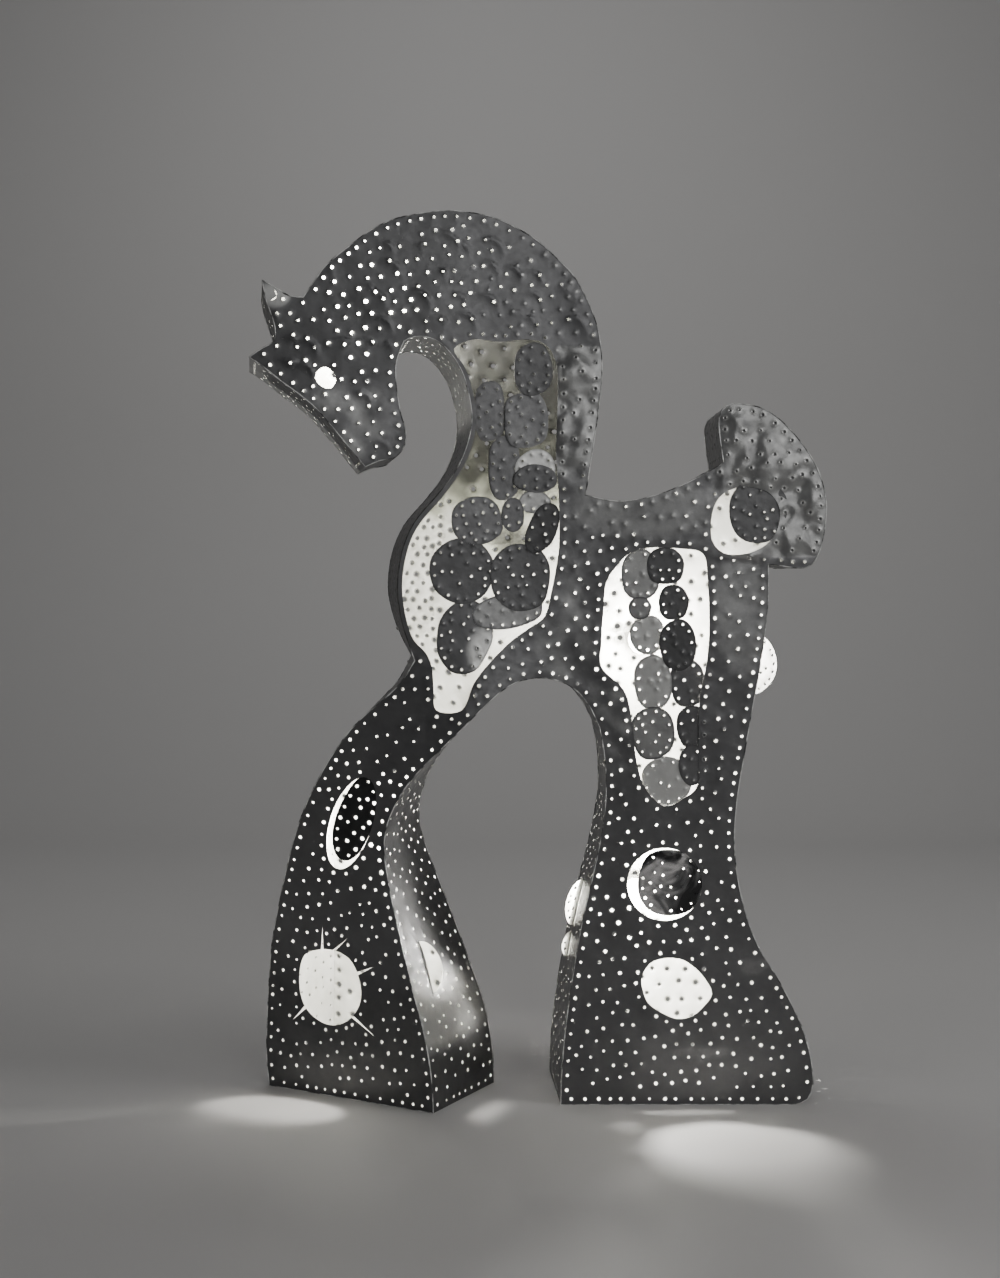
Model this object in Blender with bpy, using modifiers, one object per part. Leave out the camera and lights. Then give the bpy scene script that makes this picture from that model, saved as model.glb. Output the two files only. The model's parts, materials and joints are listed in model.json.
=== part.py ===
"""A standing horse built like a lantern: two flat cut sheets joined all round by a strip, lit from inside.

Each sheet is drawn flat. Across is u, up is v and w is the depth from the near side. One function,
place(), then turns the head and neck a little and twists the front leg. All lengths are in metres.
"""

import math

import bmesh
import bpy
from mathutils import Vector
from mathutils.geometry import delaunay_2d_cdt

height = 1.2
depth = 0.1375 * height
sheet = 0.001
gap = 0.0003
petal_gap = 0.0005

# The turn of the front part, about an upright line, and the twist of the front leg below the chest
bend_at = 0.061 * height
bend_reach = 0.067 * height
bend_angle = math.radians(8)
leg_axis = (-0.094 * height, -0.022 * height)
twist_angle = math.radians(37)
twist_from = 0.6 * height
twist_full = 0.067 * height
twist_ends_at = 0.066 * height
twist_starts_at = -0.045 * height

panel_mesh = 0.036
edge_mesh = 0.024
petal_mesh = 0.024

holder_radius = 0.016
holder_length = 0.03
bulb_radius = 0.021
bulb_neck = 0.010
bulb_length = 0.052
bulb_wall = 0.0009
lathe_steps = 14

# The profile, in shares of the height, as runs that meet at its corners. It goes round with the sheet on its left.
profile = {
    "mane": [(0.096, 0.684), (0.102, 0.723), (0.109, 0.768), (0.114, 0.813), (0.113, 0.852), (0.105, 0.886),
             (0.086, 0.925), (0.065, 0.948), (0.037, 0.972), (0.002, 0.990), (-0.023, 0.997), (-0.057, 1.000),
             (-0.090, 0.996), (-0.121, 0.988), (-0.146, 0.975), (-0.173, 0.954), (-0.193, 0.937),
             (-0.207, 0.918), (-0.219, 0.900)],
    "ear": [(-0.219, 0.900), (-0.234, 0.901), (-0.248, 0.909), (-0.264, 0.918)],
    "forehead": [(-0.264, 0.918), (-0.261, 0.901), (-0.255, 0.883), (-0.250, 0.867), (-0.251, 0.851),
                 (-0.264, 0.843), (-0.278, 0.833)],
    "face": [(-0.278, 0.833), (-0.264, 0.824), (-0.244, 0.808), (-0.223, 0.793), (-0.203, 0.776),
             (-0.184, 0.754), (-0.165, 0.731), (-0.151, 0.714)],
    "jaw": [(-0.151, 0.714), (-0.135, 0.721), (-0.117, 0.725), (-0.107, 0.739), (-0.106, 0.755),
            (-0.112, 0.775), (-0.117, 0.810), (-0.116, 0.833), (-0.108, 0.854)],
    "throat": [(-0.108, 0.854), (-0.096, 0.859), (-0.079, 0.858), (-0.062, 0.848), (-0.045, 0.825),
               (-0.036, 0.798), (-0.032, 0.767), (-0.038, 0.737), (-0.051, 0.709), (-0.070, 0.684),
               (-0.096, 0.653), (-0.110, 0.620), (-0.115, 0.580), (-0.110, 0.542), (-0.096, 0.499)],
    "shin": [(-0.096, 0.499), (-0.112, 0.474), (-0.134, 0.453), (-0.156, 0.434), (-0.174, 0.414),
             (-0.192, 0.388), (-0.211, 0.356), (-0.225, 0.328), (-0.239, 0.295), (-0.252, 0.259),
             (-0.266, 0.220), (-0.284, 0.165), (-0.296, 0.100), (-0.299, 0.040), (-0.295, 0.0)],
    "front_foot": [(-0.295, 0.0), (-0.220, 0.0), (-0.146, 0.0), (-0.072, 0.0)],
    "calf": [(-0.072, 0.0), (-0.075, 0.042), (-0.085, 0.090), (-0.101, 0.139), (-0.114, 0.187),
             (-0.127, 0.246), (-0.132, 0.286), (-0.129, 0.312), (-0.121, 0.333), (-0.108, 0.356),
             (-0.090, 0.378), (-0.068, 0.400), (-0.046, 0.421), (-0.022, 0.445), (-0.001, 0.464)],
    "belly": [(-0.001, 0.464), (0.016, 0.474), (0.038, 0.479), (0.061, 0.477), (0.083, 0.467),
              (0.100, 0.448), (0.112, 0.423)],
    "thigh": [(0.112, 0.423), (0.118, 0.387), (0.119, 0.342), (0.113, 0.297), (0.103, 0.250),
              (0.092, 0.203), (0.083, 0.152), (0.075, 0.097), (0.070, 0.048), (0.068, 0.0)],
    "hind_foot": [(0.068, 0.0), (0.156, 0.0), (0.244, 0.0), (0.332, 0.0)],
    "hock": [(0.332, 0.0), (0.345, 0.006), (0.351, 0.022), (0.349, 0.050), (0.340, 0.084), (0.325, 0.117),
             (0.308, 0.147), (0.292, 0.173), (0.278, 0.207), (0.267, 0.252), (0.263, 0.297), (0.266, 0.342),
             (0.274, 0.392), (0.283, 0.443), (0.291, 0.488), (0.297, 0.527), (0.301, 0.566), (0.301, 0.607)],
    "tail": [(0.301, 0.607), (0.320, 0.604), (0.338, 0.602), (0.351, 0.607), (0.360, 0.625), (0.365, 0.650),
             (0.366, 0.678), (0.359, 0.707), (0.346, 0.732), (0.328, 0.755), (0.309, 0.773), (0.290, 0.783),
             (0.269, 0.786), (0.254, 0.784), (0.246, 0.771), (0.247, 0.749), (0.251, 0.720)],
    "back": [(0.251, 0.720), (0.230, 0.708), (0.202, 0.694), (0.168, 0.682), (0.132, 0.677), (0.096, 0.684)],
}

# The windows cut in the near side. The chest window keeps only a narrow rim along the throat.
chest_window = [(-0.052, 0.846), (-0.040, 0.826), (-0.031, 0.799), (-0.027, 0.767), (-0.033, 0.735),
                (-0.047, 0.706), (-0.066, 0.680), (-0.092, 0.649), (-0.105, 0.618), (-0.110, 0.580),
                (-0.105, 0.544), (-0.097, 0.522), (-0.084, 0.508), (-0.077, 0.492), (-0.075, 0.468),
                (-0.072, 0.444), (-0.044, 0.444), (-0.030, 0.474), (-0.010, 0.499), (0.013, 0.521),
                (0.033, 0.535), (0.050, 0.548), (0.058, 0.577), (0.066, 0.625), (0.066, 0.680),
                (0.063, 0.734), (0.065, 0.807), (0.061, 0.838), (0.049, 0.854), (0.030, 0.858),
                (0.000, 0.855), (-0.030, 0.857)]
hip_window = [(0.116, 0.553), (0.119, 0.585), (0.129, 0.602), (0.146, 0.619), (0.168, 0.625), (0.202, 0.624),
              (0.228, 0.618), (0.233, 0.589), (0.235, 0.538), (0.232, 0.497), (0.224, 0.454), (0.223, 0.404),
              (0.222, 0.359), (0.204, 0.342), (0.184, 0.335), (0.163, 0.355), (0.153, 0.387), (0.148, 0.432),
              (0.139, 0.465), (0.114, 0.491), (0.114, 0.521)]
tail_window = [(0.238, 0.662), (0.246, 0.681), (0.262, 0.691), (0.283, 0.693), (0.304, 0.685), (0.314, 0.667),
               (0.311, 0.645), (0.298, 0.628), (0.275, 0.618), (0.251, 0.619), (0.238, 0.634)]
shin_window = [(-0.241, 0.158), (-0.221, 0.167), (-0.200, 0.168), (-0.183, 0.162), (-0.173, 0.150),
               (-0.167, 0.131), (-0.168, 0.112), (-0.179, 0.094), (-0.196, 0.083), (-0.216, 0.081),
               (-0.236, 0.090), (-0.248, 0.107), (-0.250, 0.132)]
hoof_window = [(0.159, 0.142), (0.168, 0.158), (0.184, 0.164), (0.203, 0.163), (0.218, 0.154), (0.230, 0.141),
               (0.238, 0.124), (0.226, 0.107), (0.213, 0.098), (0.198, 0.096), (0.181, 0.103), (0.167, 0.113),
               (0.161, 0.126)]
eye = [(-0.206, 0.811), (-0.203, 0.820), (-0.195, 0.824), (-0.186, 0.818), (-0.183, 0.809), (-0.189, 0.800),
       (-0.199, 0.802)]
ear_window = [(-0.262, 0.905), (-0.255, 0.909), (-0.248, 0.905), (-0.250, 0.897), (-0.260, 0.896)]
round_window = (0.185, 0.247, 0.042, 0.041, 0)
oval_window = (-0.170, 0.316, 0.024, 0.056, 21)

# Petals hung in the windows: across, up, half width, half height, lean in degrees, layer behind the near side
neck_petals = [
    (-0.011, 0.778, 0.017, 0.034, 0, 4),
    (0.037, 0.825, 0.022, 0.030, 0, 1),
    (0.029, 0.768, 0.025, 0.031, 0, 2),
    (0.005, 0.714, 0.018, 0.036, 0, 3),
    (0.040, 0.713, 0.023, 0.022, 0, 2),
    (0.039, 0.702, 0.025, 0.016, 0, 1),
    (0.039, 0.676, 0.018, 0.013, 0, 2),
    (0.048, 0.647, 0.016, 0.030, 24, 1),
    (-0.026, 0.655, 0.029, 0.027, 0, 2),
    (0.014, 0.661, 0.013, 0.019, 0, 1),
    (-0.043, 0.598, 0.037, 0.036, 0, 3),
    (-0.040, 0.525, 0.031, 0.042, 12, 4),
    (0.023, 0.592, 0.034, 0.039, 0, 2),
    (0.009, 0.554, 0.040, 0.020, -10, 3),
]
hip_petals = [
    (0.158, 0.594, 0.022, 0.029, 0, 2),
    (0.186, 0.604, 0.021, 0.021, 0, 1),
    (0.195, 0.563, 0.017, 0.020, 0, 2),
    (0.157, 0.557, 0.013, 0.013, 0, 1),
    (0.166, 0.527, 0.020, 0.022, 0, 3),
    (0.200, 0.516, 0.021, 0.029, 0, 1),
    (0.172, 0.474, 0.022, 0.031, 0, 2),
    (0.211, 0.473, 0.020, 0.027, 0, 3),
    (0.172, 0.417, 0.024, 0.030, 0, 1),
    (0.216, 0.424, 0.017, 0.024, 0, 2),
    (0.216, 0.381, 0.015, 0.023, 0, 1),
    (0.187, 0.362, 0.028, 0.028, 0, 2),
]
tail_disc = (0.290, 0.666, 0.033, 0.038, 0, 1)
oval_disc = (-0.1655, 0.3205, 0.022, 0.052, 21, 1)
round_disc = (0.191, 0.249, 0.038, 0.038, 0, 1)

# Tongues turned out from the edge strips: run, height, hinge's depth, half length, reach, opening in degrees
flaps = {
    "flap_hock": ("hock", 0.490, 0.70, 0.039, 0.042, 45),
    "flap_thigh_upper": ("thigh", 0.212, 0.62, 0.028, 0.018, 48),
    "flap_thigh_lower": ("thigh", 0.163, 0.62, 0.015, 0.011, 48),
    "flap_calf": ("calf", 0.150, 0.27, 0.031, 0.040, 34),
}

# Lamps on the far side: across, up
lamps = {
    "head": (-0.139, 0.895),
    "hip": (0.167, 0.519),
    "hoof": (0.160, 0.222),
    "shin": (-0.160, 0.284),
}


def ease(t):
    t = min(1.0, max(0.0, t))
    return t * t * (3 - 2 * t)


def place(u, v, w):
    """Where a point of the flat pattern stands once the front is turned and the leg is twisted."""
    after = bend_at + bend_reach
    if u >= after:
        x, y = u, w
    else:
        radius = 2 * bend_reach / bend_angle
        within = min(after - u, 2 * bend_reach)
        turn = within / radius
        beyond = max(0.0, after - u - 2 * bend_reach)
        x = after - radius * math.sin(turn) - beyond * math.cos(turn) - w * math.sin(turn)
        y = -radius * (1 - math.cos(turn)) - beyond * math.sin(turn) + w * math.cos(turn)
    low = 1 - ease((v - twist_full) / (twist_from - twist_full))
    front = 1 - ease((u - twist_starts_at) / (twist_ends_at - twist_starts_at))
    turn = -twist_angle * low * front
    dx, dy = x - leg_axis[0], y - leg_axis[1]
    x = leg_axis[0] + dx * math.cos(turn) - dy * math.sin(turn)
    y = leg_axis[1] + dx * math.sin(turn) + dy * math.cos(turn)
    return Vector((x, y, v))


def through(points, step, closed=False):
    """Points along a smooth curve through the given ones, none further apart than step."""
    count = len(points)
    found = []
    for i in range(count if closed else count - 1):
        if closed:
            a, b, c, d = (points[(i + k) % count] for k in (-1, 0, 1, 2))
        else:
            a, b, c, d = (points[min(count - 1, max(0, i + k))] for k in (-1, 0, 1, 2))
        pieces = max(1, math.ceil(math.dist(b, c) / step))
        for j in range(pieces):
            t = j / pieces
            found.append(tuple(
                0.5 * (2 * q + (r - p) * t + (2 * p - 5 * q + 4 * r - s) * t * t + (3 * q - p - 3 * r + s) * t ** 3)
                for p, q, r, s in zip(a, b, c, d)
            ))
    if not closed:
        found.append(points[-1])
    return found


def scaled(points):
    return [(u * height, v * height) for u, v in points]


def ellipse(across, up, half_width, half_height, lean, sides):
    """An ellipse in shares of the height, leaning to the right at its top by lean degrees."""
    turn = math.radians(lean)
    found = []
    for k in range(sides):
        angle = 2 * math.pi * k / sides
        a, b = half_width * math.cos(angle), half_height * math.sin(angle)
        found.append((
            (across + a * math.cos(turn) + b * math.sin(turn)) * height,
            (up - a * math.sin(turn) + b * math.cos(turn)) * height,
        ))
    return found


def inside(point, loop):
    a, b = point
    hit = False
    for (p, q), (r, s) in zip(loop, loop[1:] + loop[:1]):
        if (q > b) != (s > b) and a < p + (r - p) * (b - q) / (s - q):
            hit = not hit
    return hit


def filled(loops, spacing, wanted):
    """Triangles that fill the first loop and leave the others open, with a grid of points inside."""
    points = [p for loop in loops for p in loop]
    edges = []
    for loop in loops:
        first = points.index(loop[0])
        edges += [(first + k, first + (k + 1) % len(loop)) for k in range(len(loop))]
    left, right = min(p[0] for p in loops[0]), max(p[0] for p in loops[0])
    low, top = min(p[1] for p in loops[0]), max(p[1] for p in loops[0])
    borders = list(points)
    row = 0
    b = low + spacing / 2
    while b < top:
        a = left + (spacing / 2 if row % 2 else spacing * 0.9)
        while a < right:
            clear = all(math.dist((a, b), p) > 0.55 * spacing for p in borders)
            if clear and wanted(a) and inside((a, b), loops[0]) and not any(inside((a, b), x) for x in loops[1:]):
                points.append((a, b))
            a += spacing
        b += spacing * 0.87
        row += 1
    made = delaunay_2d_cdt([Vector(p) for p in points], edges, [], 1, 1e-7)
    corners = [tuple(p) for p in made[0]]
    faces = []
    for face in made[2]:
        centre = (sum(corners[i][0] for i in face) / 3, sum(corners[i][1] for i in face) / 3)
        if inside(centre, loops[0]) and not any(inside(centre, x) for x in loops[1:]):
            faces.append(tuple(face))
    return corners, faces


def cut_sheet(name, loops, to_place, material, spacing=petal_mesh, wanted=lambda a: True):
    """A cut sheet. to_place(a, b, layer) gives a point of its front (layer 0) or back (layer 1)."""
    corners, faces = filled(loops, spacing, wanted)
    shape = bmesh.new()
    flat = [shape.verts.new((a, b, 0)) for a, b in corners]
    for face in faces:
        shape.faces.new([flat[i] for i in face])
    for vert in [v for v in shape.verts if not v.link_faces]:
        shape.verts.remove(vert)
    back = bmesh.ops.extrude_face_region(shape, geom=shape.faces[:])
    for vert in (g for g in back["geom"] if isinstance(g, bmesh.types.BMVert)):
        vert.co.z = 1
    for vert in shape.verts:
        vert.co = to_place(*vert.co)
    return finished(name, shape, material)


def finished(name, shape, material):
    bmesh.ops.recalc_face_normals(shape, faces=shape.faces[:])
    if shape.calc_volume(signed=True) < 0:
        bmesh.ops.reverse_faces(shape, faces=shape.faces[:])
    mesh = bpy.data.meshes.new(name)
    shape.to_mesh(mesh)
    shape.free()
    mesh.materials.append(materials[material])
    made = bpy.data.objects.new(name, mesh)
    horse.objects.link(made)
    return made


def offset_inward(outline, amount):
    """The closed outline moved to its left by amount, mitred at the corners."""
    moved = []
    count = len(outline)
    for i in range(count):
        before, here, after = (Vector(outline[(i + k) % count]) for k in (-1, 0, 1))
        first, second = (here - before).normalized(), (after - here).normalized()
        left_first, left_second = Vector((-first.y, first.x)), Vector((-second.y, second.x))
        middle = (left_first + left_second).normalized()
        moved.append(here + middle * amount / max(0.35, middle.dot(left_first)))
    return moved


class Edge:
    """The strip that follows one run of the profile, measured along by s and across by the depth w."""

    def __init__(self, first, last):
        indices = [i % len(outline) for i in range(first, last + 1)]
        self.outer = [Vector(outline[i]) for i in indices]
        self.inner = [inner_outline[i] for i in indices]
        self.along = [0.0]
        for a, b in zip(self.outer, self.outer[1:]):
            self.along.append(self.along[-1] + (b - a).length)

    def at(self, s, layer):
        """A point of the strip's outside (layer 0) or inside (layer 1). A negative layer is outside it."""
        k = 0
        while k < len(self.along) - 2 and s > self.along[k + 1]:
            k += 1
        t = (s - self.along[k]) / (self.along[k + 1] - self.along[k])
        outer = self.outer[k].lerp(self.outer[k + 1], t)
        return outer.lerp(self.inner[k].lerp(self.inner[k + 1], t), layer)

    def along_at_height(self, up):
        for k in range(len(self.outer) - 1):
            low, top = sorted((self.outer[k].y, self.outer[k + 1].y))
            if low <= up < top:
                t = (up - self.outer[k].y) / (self.outer[k + 1].y - self.outer[k].y)
                return self.along[k] + t * (self.along[k + 1] - self.along[k])
        return self.along[-1] / 2

    def stations(self):
        return [gap / 2] + self.along[1:-1] + [self.along[-1] - gap / 2]


def edge_strip(name, edge, windows):
    front, back = sheet + gap, depth - sheet - gap
    stations = edge.stations()
    border = [(s, front) for s in stations] + [(s, back) for s in reversed(stations)]

    def to_place(s, w, layer):
        across, up = edge.at(s, layer)
        return place(across, up, w)

    return cut_sheet(name, [border] + windows, to_place, "blackened_steel", 1.0)


def tongue(edge, up, hinge_share, half_length, reach):
    """The outline of a tongue, along the edge and away from its hinge line."""
    middle = edge.along_at_height(up)
    sides = 9
    return [
        (middle + half_length * math.cos(math.pi * k / sides), reach * math.sin(math.pi * k / sides))
        for k in range(sides + 1)
    ]


def flap(name, edge, up, hinge_share, half_length, reach, opening):
    turn = math.radians(opening)
    hinge = hinge_share * depth

    def to_place(s, b, layer):
        out = gap + b * math.sin(turn) + layer * sheet * math.cos(turn)
        w = hinge - b * math.cos(turn) + layer * sheet * math.sin(turn)
        across, higher = edge.at(s, -out / sheet)
        return place(across, higher, w)

    return cut_sheet(name, [tongue(edge, up, hinge_share, half_length, reach)], to_place, "bright_steel")


def petal(name, across, up, half_width, half_height, lean, layer, material):
    sides = 14 if max(half_width, half_height) > 0.02 else 11
    front = sheet + petal_gap + (layer - 1) * (sheet + petal_gap)

    def to_place(u, v, back):
        return place(u, v, front + back * sheet)

    loop = ellipse(across, up, half_width, half_height, lean, sides)
    return cut_sheet(name, [loop], to_place, material)


def lathed(name, profile_points, across, up, material):
    """A round piece turned about a line across the depth. The profile gives (radius, w) pairs."""
    mesh = bpy.data.meshes.new(name + "_profile")
    points = [(radius, 0, w) for radius, w in profile_points]
    lines = [(k, (k + 1) % len(points)) for k in range(len(points))]
    mesh.from_pydata(points, [(a, b) for a, b in lines if points[a][0] or points[b][0]], [])
    made = bpy.data.objects.new(name, mesh)
    horse.objects.link(made)
    screw = made.modifiers.new("turned", "SCREW")
    screw.axis = "Z"
    screw.steps = screw.render_steps = lathe_steps
    screw.use_merge_vertices = True
    screw.merge_threshold = 0.00005
    bpy.context.view_layer.update()
    turned = bpy.data.meshes.new_from_object(made.evaluated_get(bpy.context.evaluated_depsgraph_get()))
    bpy.data.objects.remove(made)
    shape = bmesh.new()
    shape.from_mesh(turned)
    bmesh.ops.remove_doubles(shape, verts=shape.verts[:], dist=0.00002)
    for vert in shape.verts:
        u, v, w = vert.co
        vert.co = place(across * height + u, up * height + v, w)
    made = finished(name, shape, material)
    made.data.shade_smooth()
    made.data.set_sharp_from_angle(angle=math.radians(35))
    return made


def lamp(name, across, up):
    foot = depth - sheet - petal_gap
    top = foot - holder_length
    lathed(
        "holder_" + name,
        [(0, foot), (holder_radius, foot), (holder_radius, top), (0, top)],
        across, up, "lamp_holder",
    )
    start = top - gap
    swell = start - bulb_length + bulb_radius
    outer = [(bulb_neck, start), (bulb_neck, start - 0.25 * bulb_length)]
    for k in range(1, 7):
        angle = math.radians(35 - 125 * k / 6)
        outer.append((bulb_radius * math.cos(angle), swell + bulb_radius * math.sin(angle)))
    outer[-1] = (0, swell - bulb_radius)
    inner = []
    for radius, w in reversed(outer):
        inside_radius = max(0.0, radius - bulb_wall)
        inner.append((inside_radius, w + bulb_wall if radius < bulb_wall else w))
    inner[-1] = (bulb_neck - bulb_wall, start)
    lathed("bulb_" + name, outer + inner, across, up, "bulb_glass")


for old in list(bpy.data.objects):
    bpy.data.objects.remove(old)
horse = bpy.data.collections.new("horse")
bpy.context.scene.collection.children.link(horse)

materials = {}
for kind, colour, roughness, metallic in (
    ("blackened_steel", (0.030, 0.030, 0.032), 0.38, 0.9),
    ("grey_steel", (0.16, 0.16, 0.17), 0.34, 0.9),
    ("bright_steel", (0.55, 0.55, 0.54), 0.32, 1.0),
    ("lamp_holder", (0.70, 0.70, 0.67), 0.5, 0.0),
    ("bulb_glass", (0.95, 0.93, 0.88), 0.15, 0.0),
):
    material = bpy.data.materials.new(kind)
    material.use_nodes = True
    shader = material.node_tree.nodes["Principled BSDF"]
    shader.inputs["Base Color"].default_value = (*colour, 1)
    shader.inputs["Roughness"].default_value = roughness
    shader.inputs["Metallic"].default_value = metallic
    material.diffuse_color = (*colour, 1)
    materials[kind] = material

# The whole outline, and where each run of it starts
outline, starts = [], {}
for name, points in profile.items():
    starts[name] = len(outline)
    outline += through(scaled(points), edge_mesh)[:-1]
inner_outline = offset_inward(outline, sheet)
names = list(profile)
edges = {
    name: Edge(starts[name], starts[names[k + 1]] if k + 1 < len(names) else len(outline))
    for k, name in enumerate(names)
}

# The two cut sheets. Points are needed inside them only where they bend.
windows = [through(scaled(points), edge_mesh, True) for points in
           (chest_window, hip_window, tail_window, shin_window, hoof_window, eye, ear_window)]
windows.append(ellipse(*round_window, 18))
windows.append(ellipse(*oval_window, 18))
bends = lambda u: u < bend_at + bend_reach
cut_sheet("near_side", [outline] + windows, lambda u, v, back: place(u, v, back * sheet),
          "blackened_steel", panel_mesh, bends)
cut_sheet("far_side", [outline], lambda u, v, back: place(u, v, depth - sheet + back * sheet),
          "blackened_steel", panel_mesh, bends)

# The strips that join them, each with an opening behind any tongue turned out of it
for name, edge in edges.items():
    openings = []
    for run, up, hinge_share, half_length, reach, opening in flaps.values():
        if run == name:
            curve = tongue(edge, up * height, hinge_share, half_length * height * 0.9, reach * height * 0.85)
            side = 1 if run == "calf" else -1
            openings.append([(s, hinge_share * depth + side * (0.004 + b)) for s, b in curve])
    edge_strip("edge_" + name, edge, openings)
for name, (run, up, hinge_share, half_length, reach, opening) in flaps.items():
    flap(name, edges[run], up * height, hinge_share, half_length * height, reach * height, opening)

for k, values in enumerate(neck_petals):
    petal(f"petal_neck_{k:02d}", *values, "bright_steel" if k in (4, 6) else "grey_steel")
for k, values in enumerate(hip_petals):
    petal(f"petal_hip_{k:02d}", *values, "bright_steel" if k in (6, 11) else "grey_steel")
petal("disc_tail", *tail_disc, "grey_steel")
petal("disc_oval", *oval_disc, "blackened_steel")
petal("disc_round", *round_disc, "bright_steel")

for name, (across, up) in lamps.items():
    lamp(name, across, up)

# The origin is on the ground, in the middle of the whole horse
corners = [vert.co for piece in horse.objects for vert in piece.data.vertices]
middle = Vector((
    (min(c.x for c in corners) + max(c.x for c in corners)) / 2,
    (min(c.y for c in corners) + max(c.y for c in corners)) / 2,
    min(c.z for c in corners),
))
for piece in horse.objects:
    for vert in piece.data.vertices:
        vert.co -= middle
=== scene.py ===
import json
import math
import random

import bpy
import numpy as np
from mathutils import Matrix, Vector, kdtree, noise
from mathutils.geometry import delaunay_2d_cdt

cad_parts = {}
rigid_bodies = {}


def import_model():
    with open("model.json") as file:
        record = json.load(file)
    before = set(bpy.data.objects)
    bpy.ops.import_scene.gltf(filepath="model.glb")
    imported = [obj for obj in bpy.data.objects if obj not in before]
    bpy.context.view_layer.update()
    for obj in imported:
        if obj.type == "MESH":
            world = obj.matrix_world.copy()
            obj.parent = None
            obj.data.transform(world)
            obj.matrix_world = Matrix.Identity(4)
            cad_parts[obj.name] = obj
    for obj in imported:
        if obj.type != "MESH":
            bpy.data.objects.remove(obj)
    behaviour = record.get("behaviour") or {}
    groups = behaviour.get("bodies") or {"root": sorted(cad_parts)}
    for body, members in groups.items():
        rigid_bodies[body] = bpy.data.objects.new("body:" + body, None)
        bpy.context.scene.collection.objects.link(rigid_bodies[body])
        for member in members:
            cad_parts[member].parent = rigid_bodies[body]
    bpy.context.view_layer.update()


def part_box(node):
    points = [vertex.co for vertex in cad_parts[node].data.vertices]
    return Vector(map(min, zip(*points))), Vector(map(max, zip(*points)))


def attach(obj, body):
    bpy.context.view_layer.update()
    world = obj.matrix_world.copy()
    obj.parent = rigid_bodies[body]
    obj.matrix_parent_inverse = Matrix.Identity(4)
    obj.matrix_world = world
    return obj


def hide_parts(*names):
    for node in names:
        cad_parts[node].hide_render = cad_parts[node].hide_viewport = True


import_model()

# Driving sizes of the flat pattern, in metres, the same as the solids have
height = 1.2
depth = 0.1375 * height
sheet = 0.001
gap = 0.0003
petal_gap = 0.0005
bend_at = 0.061 * height
bend_reach = 0.067 * height
bend_angle = math.radians(8)
leg_axis = (-0.094 * height, -0.022 * height)
twist_angle = math.radians(37)
twist_from = 0.6 * height
twist_full = 0.067 * height
twist_ends_at = 0.066 * height
twist_starts_at = -0.045 * height

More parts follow.
